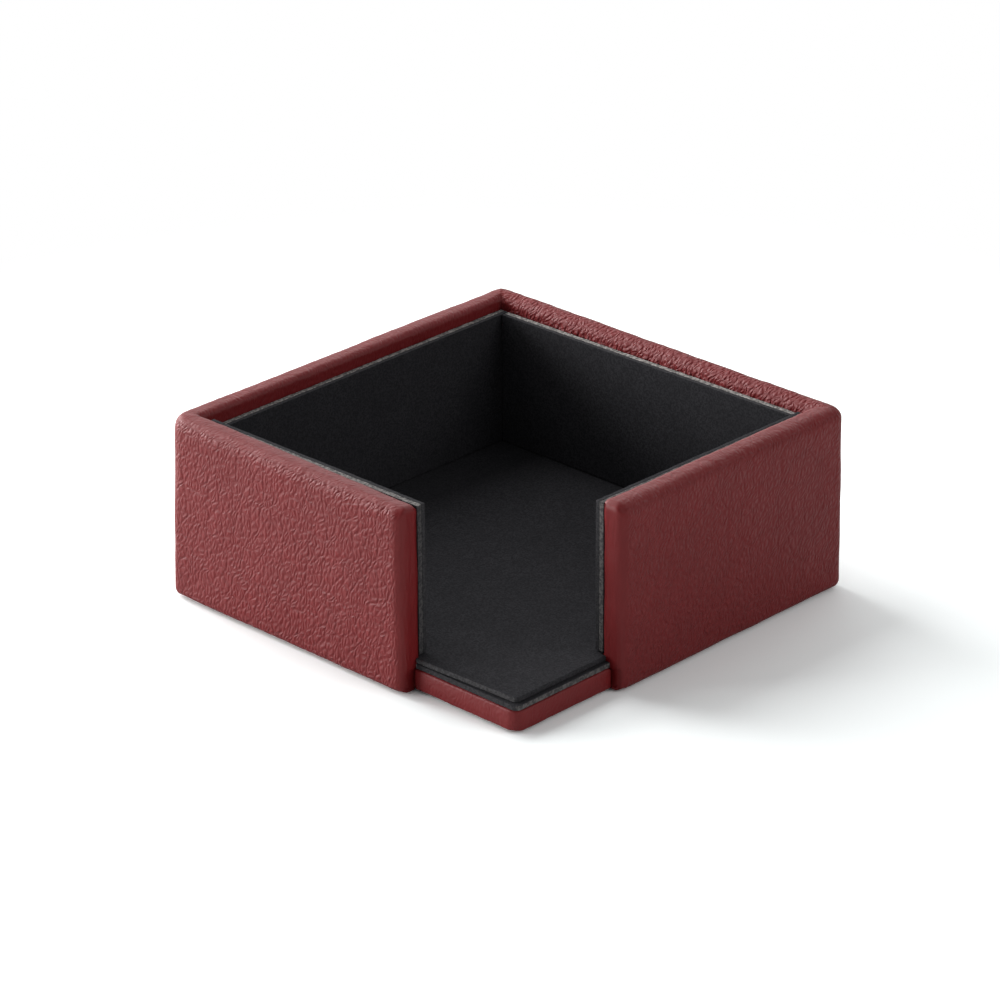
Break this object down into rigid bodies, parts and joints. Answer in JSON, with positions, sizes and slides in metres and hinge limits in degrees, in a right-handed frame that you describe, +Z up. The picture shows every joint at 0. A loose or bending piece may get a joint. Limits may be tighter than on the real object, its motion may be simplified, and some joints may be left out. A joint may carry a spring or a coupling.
{
  "type": "memo pad box",
  "caption": "Square leather-wrapped desk box for loose memo sheets, open on top and at the front corner, with black-lined walls and floor.",
  "frame": {"origin": "middle of the footprint, on the plane that the box stands on", "axes": "+Z up out of the open top; the open corner points between +X and -Y; +X and +Y along the walls"},
  "size_m": [0.11, 0.11, 0.0454],
  "materials": {
    "bordeaux_leather": "pebbled full-grain leather, satin",
    "black_facing": "matte black nubuck",
    "lining_card": "dark grey card, raw cut edges",
    "grey_board": "raw grey board, inside the leather",
    "bottom_pad": "black felt"
  },
  "bodies": {
    "root": {"wall_leather": "bordeaux_leather", "base_leather": "bordeaux_leather", "base_board": "grey_board", "wall_board_back_left": "grey_board", "wall_board_back_right": "grey_board", "wall_board_front_left": "grey_board", "wall_board_front_right": "grey_board", "floor_card": "lining_card", "lining_card_back_left": "lining_card", "lining_card_back_right": "lining_card", "lining_card_front_left": "lining_card", "lining_card_front_right": "lining_card", "floor_facing": "black_facing", "lining_facing_back_left": "black_facing", "lining_facing_back_right": "black_facing", "lining_facing_front_left": "black_facing", "lining_facing_front_right": "black_facing", "bottom_pad": "bottom_pad"}
  },
  "joints": []
}
